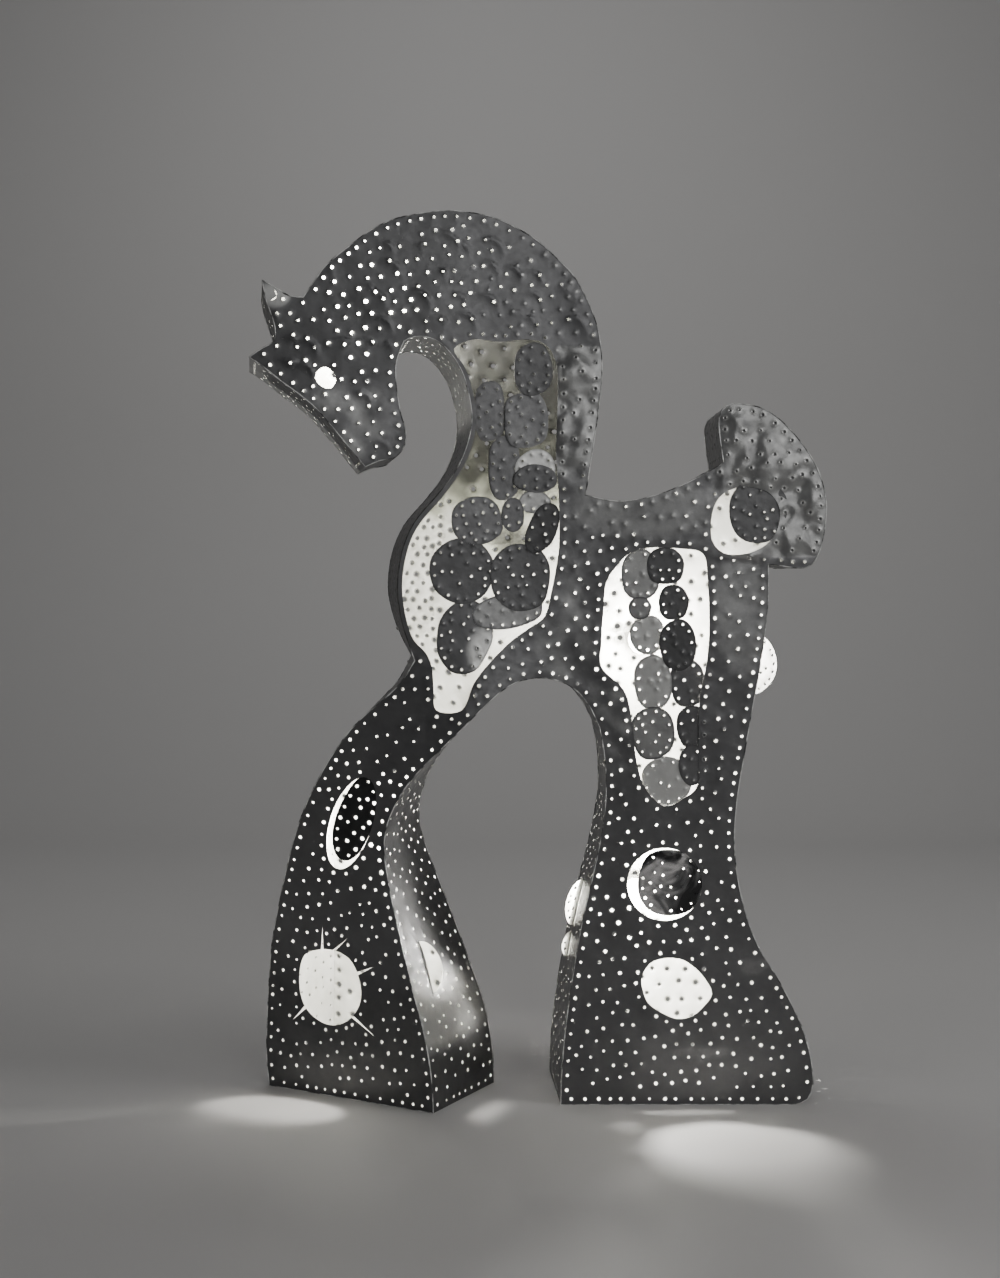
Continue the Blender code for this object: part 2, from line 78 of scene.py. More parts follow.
profile = {
    "mane": [(0.096, 0.684), (0.102, 0.723), (0.109, 0.768), (0.114, 0.813), (0.113, 0.852), (0.105, 0.886),
             (0.086, 0.925), (0.065, 0.948), (0.037, 0.972), (0.002, 0.990), (-0.023, 0.997), (-0.057, 1.000),
             (-0.090, 0.996), (-0.121, 0.988), (-0.146, 0.975), (-0.173, 0.954), (-0.193, 0.937),
             (-0.207, 0.918), (-0.219, 0.900)],
    "ear": [(-0.219, 0.900), (-0.234, 0.901), (-0.248, 0.909), (-0.264, 0.918)],
    "forehead": [(-0.264, 0.918), (-0.261, 0.901), (-0.255, 0.883), (-0.250, 0.867), (-0.251, 0.851),
                 (-0.264, 0.843), (-0.278, 0.833)],
    "face": [(-0.278, 0.833), (-0.264, 0.824), (-0.244, 0.808), (-0.223, 0.793), (-0.203, 0.776),
             (-0.184, 0.754), (-0.165, 0.731), (-0.151, 0.714)],
    "jaw": [(-0.151, 0.714), (-0.135, 0.721), (-0.117, 0.725), (-0.107, 0.739), (-0.106, 0.755),
            (-0.112, 0.775), (-0.117, 0.810), (-0.116, 0.833), (-0.108, 0.854)],
    "throat": [(-0.108, 0.854), (-0.096, 0.859), (-0.079, 0.858), (-0.062, 0.848), (-0.045, 0.825),
               (-0.036, 0.798), (-0.032, 0.767), (-0.038, 0.737), (-0.051, 0.709), (-0.070, 0.684),
               (-0.096, 0.653), (-0.110, 0.620), (-0.115, 0.580), (-0.110, 0.542), (-0.096, 0.499)],
    "shin": [(-0.096, 0.499), (-0.112, 0.474), (-0.134, 0.453), (-0.156, 0.434), (-0.174, 0.414),
             (-0.192, 0.388), (-0.211, 0.356), (-0.225, 0.328), (-0.239, 0.295), (-0.252, 0.259),
             (-0.266, 0.220), (-0.284, 0.165), (-0.296, 0.100), (-0.299, 0.040), (-0.295, 0.0)],
    "front_foot": [(-0.295, 0.0), (-0.220, 0.0), (-0.146, 0.0), (-0.072, 0.0)],
    "calf": [(-0.072, 0.0), (-0.075, 0.042), (-0.085, 0.090), (-0.101, 0.139), (-0.114, 0.187),
             (-0.127, 0.246), (-0.132, 0.286), (-0.129, 0.312), (-0.121, 0.333), (-0.108, 0.356),
             (-0.090, 0.378), (-0.068, 0.400), (-0.046, 0.421), (-0.022, 0.445), (-0.001, 0.464)],
    "belly": [(-0.001, 0.464), (0.016, 0.474), (0.038, 0.479), (0.061, 0.477), (0.083, 0.467),
              (0.100, 0.448), (0.112, 0.423)],
    "thigh": [(0.112, 0.423), (0.118, 0.387), (0.119, 0.342), (0.113, 0.297), (0.103, 0.250),
              (0.092, 0.203), (0.083, 0.152), (0.075, 0.097), (0.070, 0.048), (0.068, 0.0)],
    "hind_foot": [(0.068, 0.0), (0.156, 0.0), (0.244, 0.0), (0.332, 0.0)],
    "hock": [(0.332, 0.0), (0.345, 0.006), (0.351, 0.022), (0.349, 0.050), (0.340, 0.084), (0.325, 0.117),
             (0.308, 0.147), (0.292, 0.173), (0.278, 0.207), (0.267, 0.252), (0.263, 0.297), (0.266, 0.342),
             (0.274, 0.392), (0.283, 0.443), (0.291, 0.488), (0.297, 0.527), (0.301, 0.566), (0.301, 0.607)],
    "tail": [(0.301, 0.607), (0.320, 0.604), (0.338, 0.602), (0.351, 0.607), (0.360, 0.625), (0.365, 0.650),
             (0.366, 0.678), (0.359, 0.707), (0.346, 0.732), (0.328, 0.755), (0.309, 0.773), (0.290, 0.783),
             (0.269, 0.786), (0.254, 0.784), (0.246, 0.771), (0.247, 0.749), (0.251, 0.720)],
    "back": [(0.251, 0.720), (0.230, 0.708), (0.202, 0.694), (0.168, 0.682), (0.132, 0.677), (0.096, 0.684)],
}
chest_window = [(-0.052, 0.846), (-0.040, 0.826), (-0.031, 0.799), (-0.027, 0.767), (-0.033, 0.735),
                (-0.047, 0.706), (-0.066, 0.680), (-0.092, 0.649), (-0.105, 0.618), (-0.110, 0.580),
                (-0.105, 0.544), (-0.097, 0.522), (-0.084, 0.508), (-0.077, 0.492), (-0.075, 0.468),
                (-0.072, 0.444), (-0.044, 0.444), (-0.030, 0.474), (-0.010, 0.499), (0.013, 0.521),
                (0.033, 0.535), (0.050, 0.548), (0.058, 0.577), (0.066, 0.625), (0.066, 0.680),
                (0.063, 0.734), (0.065, 0.807), (0.061, 0.838), (0.049, 0.854), (0.030, 0.858),
                (0.000, 0.855), (-0.030, 0.857)]
hip_window = [(0.116, 0.553), (0.119, 0.585), (0.129, 0.602), (0.146, 0.619), (0.168, 0.625), (0.202, 0.624),
              (0.228, 0.618), (0.233, 0.589), (0.235, 0.538), (0.232, 0.497), (0.224, 0.454), (0.223, 0.404),
              (0.222, 0.359), (0.204, 0.342), (0.184, 0.335), (0.163, 0.355), (0.153, 0.387), (0.148, 0.432),
              (0.139, 0.465), (0.114, 0.491), (0.114, 0.521)]
tail_window = [(0.238, 0.662), (0.246, 0.681), (0.262, 0.691), (0.283, 0.693), (0.304, 0.685), (0.314, 0.667),
               (0.311, 0.645), (0.298, 0.628), (0.275, 0.618), (0.251, 0.619), (0.238, 0.634)]
shin_window = [(-0.241, 0.158), (-0.221, 0.167), (-0.200, 0.168), (-0.183, 0.162), (-0.173, 0.150),
               (-0.167, 0.131), (-0.168, 0.112), (-0.179, 0.094), (-0.196, 0.083), (-0.216, 0.081),
               (-0.236, 0.090), (-0.248, 0.107), (-0.250, 0.132)]
hoof_window = [(0.159, 0.142), (0.168, 0.158), (0.184, 0.164), (0.203, 0.163), (0.218, 0.154), (0.230, 0.141),
               (0.238, 0.124), (0.226, 0.107), (0.213, 0.098), (0.198, 0.096), (0.181, 0.103), (0.167, 0.113),
               (0.161, 0.126)]
chest_patch = [(-0.108, 0.500), (-0.108, 0.585), (-0.092, 0.645), (-0.066, 0.680), (-0.050, 0.690),
               (-0.052, 0.620), (-0.062, 0.560), (-0.064, 0.490), (-0.082, 0.480)]
eye = [(-0.206, 0.811), (-0.203, 0.820), (-0.195, 0.824), (-0.186, 0.818), (-0.183, 0.809), (-0.189, 0.800),
       (-0.199, 0.802)]
ear_window = [(-0.262, 0.905), (-0.255, 0.909), (-0.248, 0.905), (-0.250, 0.897), (-0.260, 0.896)]
# Ellipses in shares of the height: across, up, half width, half height and lean, then a petal's layer
round_window = (0.185, 0.247, 0.042, 0.041, 0)
oval_window = (-0.170, 0.316, 0.024, 0.056, 21)
neck_petals = [
    (-0.011, 0.778, 0.017, 0.034, 0, 4),
    (0.037, 0.825, 0.022, 0.030, 0, 1),
    (0.029, 0.768, 0.025, 0.031, 0, 2),
    (0.005, 0.714, 0.018, 0.036, 0, 3),
    (0.040, 0.713, 0.023, 0.022, 0, 2),
    (0.039, 0.702, 0.025, 0.016, 0, 1),
    (0.039, 0.676, 0.018, 0.013, 0, 2),
    (0.048, 0.647, 0.016, 0.030, 24, 1),
    (-0.026, 0.655, 0.029, 0.027, 0, 2),
    (0.014, 0.661, 0.013, 0.019, 0, 1),
    (-0.043, 0.598, 0.037, 0.036, 0, 3),
    (-0.040, 0.525, 0.031, 0.042, 12, 4),
    (0.023, 0.592, 0.034, 0.039, 0, 2),
    (0.009, 0.554, 0.040, 0.020, -10, 3),
]
hip_petals = [
    (0.158, 0.594, 0.022, 0.029, 0, 2),
    (0.186, 0.604, 0.021, 0.021, 0, 1),
    (0.195, 0.563, 0.017, 0.020, 0, 2),
    (0.157, 0.557, 0.013, 0.013, 0, 1),
    (0.166, 0.527, 0.020, 0.022, 0, 3),
    (0.200, 0.516, 0.021, 0.029, 0, 1),
    (0.172, 0.474, 0.022, 0.031, 0, 2),
    (0.211, 0.473, 0.020, 0.027, 0, 3),
    (0.172, 0.417, 0.024, 0.030, 0, 1),
    (0.216, 0.424, 0.017, 0.024, 0, 2),
    (0.216, 0.381, 0.015, 0.023, 0, 1),
    (0.187, 0.362, 0.028, 0.028, 0, 2),
]
tail_disc = (0.290, 0.666, 0.033, 0.038, 0, 1)
oval_disc = (-0.1655, 0.3205, 0.022, 0.052, 21, 1)
round_disc = (0.191, 0.249, 0.038, 0.038, 0, 1)
# Leaves turned out of a strip: strip, height, hinge's share of the depth, half length, reach and opening
flaps = {
    "flap_hock": ("hock", 0.490, 0.70, 0.039, 0.042, 45),
    "flap_thigh_upper": ("thigh", 0.212, 0.62, 0.028, 0.018, 48),
    "flap_thigh_lower": ("thigh", 0.163, 0.62, 0.015, 0.011, 48),
    "flap_calf": ("calf", 0.150, 0.27, 0.031, 0.040, 34),
}
hip_lamp_across = 0.167
lamp_watts = {"head": 17.0, "hip": 8.0, "hoof": 12.0, "shin": 6.0}

# The nails were driven harder near these places: the holes there are up to this share wider
driven_hard = [(-0.138, 0.892), (-0.175, 0.862), (0.140, 0.520), (0.150, 0.215), (-0.132, 0.284)]
driven_gain = 0.35
driven_reach = 0.06

hole_radius = 0.0021
hole_spread = (0.74, 1.18)
hole_sides = 7
closed_gain = 1.25
# How far holes stay apart, in shares of their spacing, and off an edge, in shares of the margin: in a row
# along an edge, and in the free rows
row_apart, free_row_apart = 0.62, 0.66
row_clear, free_row_clear = 0.80, 1.25
row_jitter = 0.22
burr_width = 2.0
burr_height = 0.0003
# For each kind of nail mark: burr at its middle and rim, then painted light at its middle and rim: a painted
# glow round an open hole, a painted highlight on a dimple's tip, painted shade in a pit with a painted
# highlight round it
nail_marks = {"": (0.0, 1.2, 0.0, 0.42), "tip": (2.6, 1.2, 0.72, 0.10), "pit": (-4.5, 2.2, -0.85, 0.55)}

# Mesh: steps along the outline and the windows, and how close a free point may come to another
edge_mesh = 0.011
window_mesh = 0.008
free_apart = 0.0032
ellipse_sides = 40
row_pitch = 0.87
smooth_under = math.radians(42)
hole_owner = 1000


def ease(t):
    """From 0 to 1, smoothly, as t goes from 0 to 1."""
    t = np.clip(t, 0.0, 1.0)
    return t * t * (3 - 2 * t)


def place(u, v, w):
    """Arrays of flat pattern coordinates to points of the row's frame, before the shift to its origin."""
    u, v, w = np.broadcast_arrays(*(np.asarray(a, float) for a in (u, v, w)))
    after = bend_at + bend_reach
    radius = 2 * bend_reach / bend_angle
    within = np.clip(after - u, 0.0, 2 * bend_reach)
    turn = within / radius
    beyond = np.maximum(0.0, after - u - 2 * bend_reach)
    x = np.where(u >= after, u, after - radius * np.sin(turn) - beyond * np.cos(turn) - w * np.sin(turn))
    y = np.where(u >= after, w, -radius * (1 - np.cos(turn)) - beyond * np.sin(turn) + w * np.cos(turn))
    low = 1 - ease((v - twist_full) / (twist_from - twist_full))
    front = 1 - ease((u - twist_starts_at) / (twist_ends_at - twist_starts_at))
    turn = -twist_angle * low * front
    dx, dy = x - leg_axis[0], y - leg_axis[1]
    x = leg_axis[0] + dx * np.cos(turn) - dy * np.sin(turn)
    y = leg_axis[1] + dx * np.sin(turn) + dy * np.cos(turn)
    return np.stack([x, y, v], axis=-1)


def through(points, step, closed=False):
    """A smooth curve through the points, in pieces no longer than step."""
    count = len(points)
    found = []
    for i in range(count if closed else count - 1):
        if closed:
            a, b, c, d = (points[(i + k) % count] for k in (-1, 0, 1, 2))
        else:
            a, b, c, d = (points[min(count - 1, max(0, i + k))] for k in (-1, 0, 1, 2))
        pieces = max(1, math.ceil(math.dist(b, c) / step))
        for j in range(pieces):
            t = j / pieces
            found.append(tuple(
                0.5 * (
                    2 * q + (r - p) * t + (2 * p - 5 * q + 4 * r - s) * t * t
                    + (3 * q - p - 3 * r + s) * t ** 3
                )
                for p, q, r, s in zip(a, b, c, d)
            ))
    if not closed:
        found.append(points[-1])
    return found


def scaled(points):
    """Shares of the height to metres."""
    return [(u * height, v * height) for u, v in points]


def ellipse(across, up, half_width, half_height, lean, fullness=1.0):
    """An ellipse in shares of the height. A fullness under 1 makes it squarer."""
    turn = math.radians(lean)
    found = []
    for k in range(ellipse_sides):
        angle = 2 * math.pi * k / ellipse_sides
        a = half_width * math.copysign(abs(math.cos(angle)) ** fullness, math.cos(angle))
        b = half_height * math.copysign(abs(math.sin(angle)) ** fullness, math.sin(angle))
        found.append((
            (across + a * math.cos(turn) + b * math.sin(turn)) * height,
            (up - a * math.sin(turn) + b * math.cos(turn)) * height,
        ))
    return found


def inside(points, loop):
    """Which of an array of points lie inside a closed loop."""
    points, loop = np.asarray(points, float).reshape(-1, 2), np.asarray(loop, float)
    following = np.roll(loop, -1, axis=0)
    hit = np.zeros(len(points), bool)
    for (p, q), (r, s) in zip(loop, following):
        if q == s:
            continue
        crosses = (q > points[:, 1]) != (s > points[:, 1])
        hit ^= crosses & (points[:, 0] < p + (r - p) * (points[:, 1] - q) / (s - q))
    return hit


def in_sheet(points, loops):
    """Which of the points lie inside the first loop and outside the others, which are openings."""
    within = inside(points, loops[0])
    for opening in loops[1:]:
        within &= ~inside(points, opening)
    return within


def tree_of(points):
    """A search tree that finds the nearest of the points."""
    tree = kdtree.KDTree(len(points))
    for k, (a, b) in enumerate(points):
        tree.insert((a, b, 0), k)
    tree.balance()
    return tree


def dense(loop, step=0.003):
    """Points along a closed loop, close enough together to measure distances from."""
    found = []
    for a, b in zip(loop, loop[1:] + loop[:1]):
        pieces = max(1, math.ceil(math.dist(a, b) / step))
        for j in range(pieces):
            found.append((a[0] + (b[0] - a[0]) * j / pieces, a[1] + (b[1] - a[1]) * j / pieces))
    return found


def punched(loops, spacing, margin, edge_spacing, seed, slant=0.0, jitter=0.20, radius=hole_radius, shut=None,
            sunk=None):
    """Places of the nail holes: a row inside each edge, and uneven rows over the rest.

    shut(a, b) gives how often the nail has only raised a dimple. Where sunk(a, b) is true it left a pit.
    Each hole is a, b, radius, turn and kind of mark.
    """
    dice = random.Random(seed)
    border = tree_of([p for loop in loops for p in dense(loop)])
    found = []

    def accept(a, b, apart, off_edge):
        if border.find((a, b, 0))[2] < off_edge:
            return
        if not any(math.dist((a, b), p) < apart for p in found):
            found.append((a, b))

    for loop in loops:
        line = dense(loop, 0.002)
        travelled = dice.uniform(0, edge_spacing)
        for before, here, after in zip(line[-2:] + line[:-2], line, line[2:] + line[:2]):
            travelled += math.dist(here, after) / 2
            if travelled < edge_spacing:
                continue
            travelled = dice.uniform(-row_jitter, row_jitter) * edge_spacing
            along = Vector((after[0] - before[0], after[1] - before[1])).normalized()
            for side in (1, -1):
                a = here[0] - along.y * margin * side
                b = here[1] + along.x * margin * side
                if in_sheet([(a, b)], loops)[0]:
                    accept(a, b, row_apart * edge_spacing, row_clear * margin)
    outer = np.array(loops[0])
    (left, low), (right, top) = outer.min(axis=0), outer.max(axis=0)
    cells = []
    row = 0
    b = low - (right - left) * abs(slant)
    while b < top + (right - left) * abs(slant):
        a = left + (spacing / 2 if row % 2 else 0)
        while a < right:
            cells.append((
                a + dice.uniform(-jitter, jitter) * spacing,
                b + (a - left) * slant + dice.uniform(-jitter, jitter) * spacing,
            ))
            a += spacing
        b += spacing * row_pitch
        row += 1
    for (a, b), good in zip(cells, in_sheet(cells, loops)):
        if good:
            accept(a, b, free_row_apart * spacing, margin * free_row_clear)
    sized = []
    for a, b in found:
        nearest = min(math.dist((a, b), (u * height, v * height)) for u, v in driven_hard)
        wider = 1 + driven_gain * math.exp(-((nearest / driven_reach) ** 2))
        size = radius * wider * dice.uniform(*hole_spread)
        phase = dice.random()
        kind = ""
        if shut and dice.random() < shut(a, b):
            kind = "pit" if sunk and sunk(a, b) else "tip"
        sized.append((a, b, size, phase, kind))
    return sized


def added(name, data):
    """An object of the scene with this data."""
    made = bpy.data.objects.new(name, data)
    bpy.context.scene.collection.objects.link(made)
    return made


def lay_pattern(mesh, flat):
    """Keeps each point's place in the flat pattern as the mesh's UV map."""
    corner = np.empty(len(mesh.loops), np.int32)
    mesh.loops.foreach_get("vertex_index", corner)
    layer = mesh.uv_layers.new(name="pattern")
    layer.data.foreach_set("uv", flat[corner].astype(np.float32).ravel())


def lay_tone(mesh, channels):
    """Writes red, green and blue for each point as the colour attribute that the metals read: the metal's own
    tone with painted light and shade.
    """
    colours = np.stack(list(channels) + [np.ones_like(channels[0])], axis=1)
    data = mesh.color_attributes.new(name="tone", type="FLOAT_COLOR", domain="POINT")
    data.data.foreach_set("color", colours.astype(np.float32).ravel())


def pierced(name, loops, holes, face, spacing, lift=None, burr=burr_height):
    """A thin sheet with real holes, each with a raised burr.

    face(a, b, layer, rise) maps arrays of pattern points to places in space: layer 0 is the outer face and
    layer 1 the inner one. spacing is the mesh's, or a list of spacings, each with the part of the pattern
    that it is for. lift(a, b) gives the relief, outwards. What comes back is the object, its points in the
    flat pattern and their marks: above 0 for painted light round a nail mark, below 0 for painted shade in a
    pit.
    """
    points, owner, raised, marks, edges = [], [], [], [], []

    def put(a, b, whose=-1, burr_share=0.0, mark=0.0):
        """Adds a point. whose is the loop that it lies on, hole_owner and up for a hole, or -1."""
        points.append((a, b))
        owner.append(whose)
        raised.append(burr_share)
        marks.append(mark)

    for k, loop in enumerate(loops):
        first = len(points)
        for a, b in loop:
            put(a, b, k)
        edges += [(first + j, first + (j + 1) % len(loop)) for j in range(len(loop))]
    for k, (a, b, radius, phase, kind) in enumerate(holes):
        first = len(points)
        middle_burr, rim_burr, middle_mark, rim_mark = nail_marks[kind]
        if kind:
            radius *= closed_gain
            put(a, b, -1, middle_burr, middle_mark)
        whose = -1 if kind else hole_owner + k
        for j in range(hole_sides):
            angle = 2 * math.pi * (j + phase) / hole_sides
            put(a + radius * math.cos(angle), b + radius * math.sin(angle), whose, rim_burr, rim_mark)
        if not kind:
            edges += [(first + j, first + (j + 1) % hole_sides) for j in range(hole_sides)]
        for j in range(hole_sides):
            angle = 2 * math.pi * (j + phase + 0.5) / hole_sides
            reach = radius * burr_width
            put(a + reach * math.cos(angle), b + reach * math.sin(angle))
    near = tree_of(points)
    centres = tree_of([h[:2] for h in holes]) if holes else None
    outer = np.array(loops[0])
    (left, low), (right, top) = outer.min(axis=0), outer.max(axis=0)
    for size, wanted in spacing if isinstance(spacing, list) else [(spacing, None)]:
        grid = [
            (a + (size / 2 if row % 2 else 0), b)
            for row, b in enumerate(np.arange(low + size / 2, top, size * row_pitch))
            for a in np.arange(left + size / 2, right, size)
            if wanted is None or wanted(a, b)
        ]
        for (a, b), good in zip(grid, in_sheet(grid, loops)):
            if not good or near.find((a, b, 0))[2] < min(0.5 * size, free_apart):
                continue
            if centres and centres.find((a, b, 0))[2] < hole_radius * burr_width * 1.1:
                continue
            put(a, b)
    meshed, _, triangles, sources, _, _ = delaunay_2d_cdt([Vector(p) for p in points], edges, [], 1, 1e-8)
    flat = np.array([tuple(p) for p in meshed])
    source = [o[0] if o else -1 for o in sources]
    owner = np.array([owner[i] if i >= 0 else -1 for i in source])
    raised = np.array([raised[i] if i >= 0 else 0.0 for i in source])
    marks = np.array([marks[i] if i >= 0 else 0.0 for i in source])
    tris = np.array([f for f in triangles if len(f) == 3])

    # Triangles inside a hole or an opening, or outside the outline, are dropped
    same = (owner[tris[:, 0]] == owner[tris[:, 1]]) & (owner[tris[:, 1]] == owner[tris[:, 2]])
    same &= owner[tris[:, 0]] >= 0
    drop = same & (owner[tris[:, 0]] >= hole_owner)
    middle = flat[tris].mean(axis=1)
    for k, loop in enumerate(loops):
        mine = same & (owner[tris[:, 0]] == k)
        within = inside(middle[mine], loop)
        drop[np.flatnonzero(mine)[within if k else ~within]] = True
    tris = tris[~drop]
    used, tris = np.unique(tris, return_inverse=True)
    tris = tris.reshape(-1, 3)
    flat, raised, marks = flat[used], raised[used], marks[used]
    area = np.cross(flat[tris[:, 1]] - flat[tris[:, 0]], flat[tris[:, 2]] - flat[tris[:, 0]])
    tris[area < 0] = tris[area < 0][:, ::-1]

    # Both faces, and a wall between them round every free edge
    rise = raised * burr
    if lift is not None:
        rise = rise + lift(flat[:, 0], flat[:, 1])
    places = np.vstack([face(*flat.T, layer, rise) for layer in (0, 1)])
    count = len(flat)
    ends = np.concatenate([tris[:, [0, 1]], tris[:, [1, 2]], tris[:, [2, 0]]])
    key = ends[:, 0] * count + ends[:, 1]
    twin = ends[:, 1] * count + ends[:, 0]
    rim = ends[~np.isin(key, twin)]
    faces = [tuple(t) for t in tris] + [tuple(t[::-1] + count) for t in tris]
    faces += [(b, a, a + count, b + count) for a, b in rim]
    mesh = bpy.data.meshes.new(name)
    mesh.from_pydata(places.tolist(), [], faces)
    mesh.polygons.foreach_set("material_index", [0] * len(tris) + [1] * len(tris) + [0] * len(rim))
    lay_pattern(mesh, np.vstack([flat, flat]))
    mesh.update()
    mesh.shade_smooth()
    mesh.set_sharp_from_angle(angle=smooth_under)
    return added(name, mesh), flat, marks


def shifted(points):
    """Points in the row's own frame, none of them below the floor."""
    moved = points - origin
    moved[..., 2] = np.maximum(moved[..., 2], 0)
    return moved


class Edge:
    """The strip that follows one run of the profile, measured along by s and across by the depth w."""

    def __init__(self, first, last):
        indices = [i % len(outline) for i in range(first, last + 1)]
        self.outer = np.array([outline[i] for i in indices])
        self.inner = np.array([inner_outline[i] for i in indices])
        steps = np.linalg.norm(np.diff(self.outer, axis=0), axis=1)
        self.along = np.concatenate([[0.0], np.cumsum(steps)])

    def at(self, s, layer):
        """Pattern points at s, from the outer face, layer 0, to the inner face, layer 1, and beyond."""
        s, layer = np.asarray(s, float), np.asarray(layer, float)[..., None]
        outer = np.stack([np.interp(s, self.along, self.outer[:, k]) for k in (0, 1)], axis=-1)
        inner = np.stack([np.interp(s, self.along, self.inner[:, k]) for k in (0, 1)], axis=-1)
        return outer + (inner - outer) * layer

    def along_at_height(self, up):
        """How far along the strip its outer face reaches this height."""
        for k in range(len(self.outer) - 1):
            low, top = sorted((self.outer[k][1], self.outer[k + 1][1]))
            if low <= up < top:
                t = (up - self.outer[k][1]) / (self.outer[k + 1][1] - self.outer[k][1])
                return self.along[k] + t * (self.along[k + 1] - self.along[k])
        return self.along[-1] / 2


def offset_inward(loop, amount):
    """The loop moved to its left, so inwards where it runs anticlockwise."""
    moved = []
    count = len(loop)
    for i in range(count):
        before, here, after = (Vector(loop[(i + k) % count]) for k in (-1, 0, 1))
        first, second = (here - before).normalized(), (after - here).normalized()
        left_first, left_second = Vector((-first.y, first.x)), Vector((-second.y, second.x))
        middle = (left_first + left_second).normalized()
        moved.append(tuple(here + middle * amount / max(0.35, middle.dot(left_first))))
    return moved


outline, starts = [], {}
for name, points in profile.items():
    starts[name] = len(outline)
    outline += through(scaled(points), edge_mesh)[:-1]
inner_outline = offset_inward(outline, sheet)
names = list(profile)
edges = {
    name: Edge(starts[name], starts[names[k + 1]] if k + 1 < len(names) else len(outline))
    for k, name in enumerate(names)
}

# The origin in pattern space, read from two solids on the unbent hind part: the hip lamp and the tail's disc
low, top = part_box("bulb_hip")
origin_across = hip_lamp_across * height - (low[0] + top[0]) / 2
low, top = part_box("disc_tail")
origin = np.array([origin_across, (sheet + petal_gap) - low[1], 0.0])


def rumple(a, b, size, seed):
    """Smooth noise over arrays of pattern points, about -1 to 1."""
    return np.array([noise.noise(Vector((x / size, y / size, seed))) for x, y in zip(a, b)])


def border_fade(loops, reach):
    """A function of pattern points: 0 on the loops, rising to 1 at reach from them."""
    tree = tree_of([p for loop in loops for p in dense(loop)])

    def fade(a, b):
        away = np.array([tree.find((x, y, 0))[2] for x, y in zip(a, b)])
        return np.clip(away / reach, 0, 1)

    return fade


def blob(a, b, across, up, wide, high):
    """A soft patch of the pattern, 1 at its middle and 0 beyond its edge."""
    away = np.hypot((a / height - across) / wide, (b / height - up) / high)
    return ease(1.5 - away)


def crumpled(a, b):
    """Where the metal is crumpled: down the back of the neck and over the tail, each a plate of its own."""
    u, v = a / height, b / height
    neck = ease((0.853 - v) / 0.004) * ease((v - 0.680) / 0.05) * ease((u - 0.060) / 0.010) * (u < 0.2)
    tail = ease((u - 0.225) / 0.04) * ease((v - 0.612) / 0.004)
    return np.clip(neck + tail, 0, 1)


def scattered(i, j, first, second):
    """A repeatable number from 0 to 1 for each cell."""
    return np.modf(np.abs(np.sin(i * first + j * second)) * 437.5)[0]


def scalloped(a, b):
    """Half-moon hammer marks on head and neck: tilted scales, each with a step along its upper right."""
    reach, spread = 0.023, 0.034
    total = np.zeros_like(a)
    best = np.full_like(a, -1.0)
    column, row = np.floor(a / spread), np.floor(b / spread)
    for across in (-1, 0, 1):
        for up in (-1, 0, 1):
            i, j = column + across, row + up
            wobble, other = scattered(i, j, 127.1, 311.7), scattered(i, j, 269.5, 183.3)
            middle_a, middle_b = (i + 0.2 + 0.6 * wobble) * spread, (j + 0.2 + 0.6 * other) * spread
            off_a, off_b = a - middle_a, b - middle_b
            size = reach * (0.75 + 0.5 * wobble)
            away = np.hypot(off_a, off_b) / size
            lean = np.clip((0.60 * off_a + 0.80 * off_b) / size, 0, 1)
            here = (away < 1) & (other > best) & (other > 0.45)
            total = np.where(here, lean * lean * away * ease((1 - away) / 0.20), total)
            best = np.where(here, other, best)
    return total


def relief_near(a, b):
    """Hammered all over, with half moons on the head and neck, and crumpled behind them."""
    upper = ease((b / height - 0.70) / 0.08) * (1 - crumpled(a, b))
    soft = rumple(a, b, 0.055, 1.0) * 0.0010
    folds = rumple(a, b, 0.042, 4.0)
    creases = 0.4 - 1.6 * np.abs(rumple(a, b, 0.030, 6.0))
    ripples = rumple(a, b, 0.014, 8.0)
    rough = 0.0054 * folds + 0.0022 * creases + 0.0007 * ripples + 0.0008
    fine = rumple(a, b, 0.022, 7.0) * 0.0003
    return sheet_fade(a, b) * (soft + fine + rough * crumpled(a, b) + 0.0024 * upper * scalloped(a, b))


def relief_far(a, b):
    """Hammered all over, evenly."""
    return sheet_fade(a, b) * (rumple(a, b, 0.06, 9.0) * 0.0016 + rumple(a, b, 0.024, 12.0) * 0.0008)


def paint(obj, tone, marks, inner=None, tint=(1.0, 1.0, 1.0)):
    """Paints how bright the metal is, outside and inside, with the painted highlights and shade of the nail
    marks. Inside, a low brightness is painted shade, and the tint is for that shaded part.
    """
    tone = np.where(marks > 0, tone + np.maximum(0, 1 - tone) * marks, tone * (1 + marks))
    inner = np.ones_like(tone) if inner is None else inner
    in_painted_shade = np.clip(2 - 2 * inner, 0, 1)
    lay_tone(obj.data, [np.concatenate([tone, inner * (1 + (share - 1) * in_painted_shade)]) for share in tint])


# Painted light: brighter patches of the near side, in shares of the height: level, middle, half sizes,
# whether it is uneven
painted_light_patches = [
    (0.54, -0.170, 0.765, 0.075, 0.060, True),
    (0.80, -0.250, 0.903, 0.020, 0.018, False),
    (0.58, 0.270, 0.550, 0.045, 0.100, False),
    (0.58, 0.160, 0.670, 0.120, 0.050, False),
    (0.48, 0.060, 0.620, 0.060, 0.090, False),
    (0.53, 0.075, 0.530, 0.050, 0.090, True),
    (0.52, 0.225, 0.058, 0.055, 0.011, False),
    (0.52, 0.285, 0.155, 0.030, 0.014, False),
]


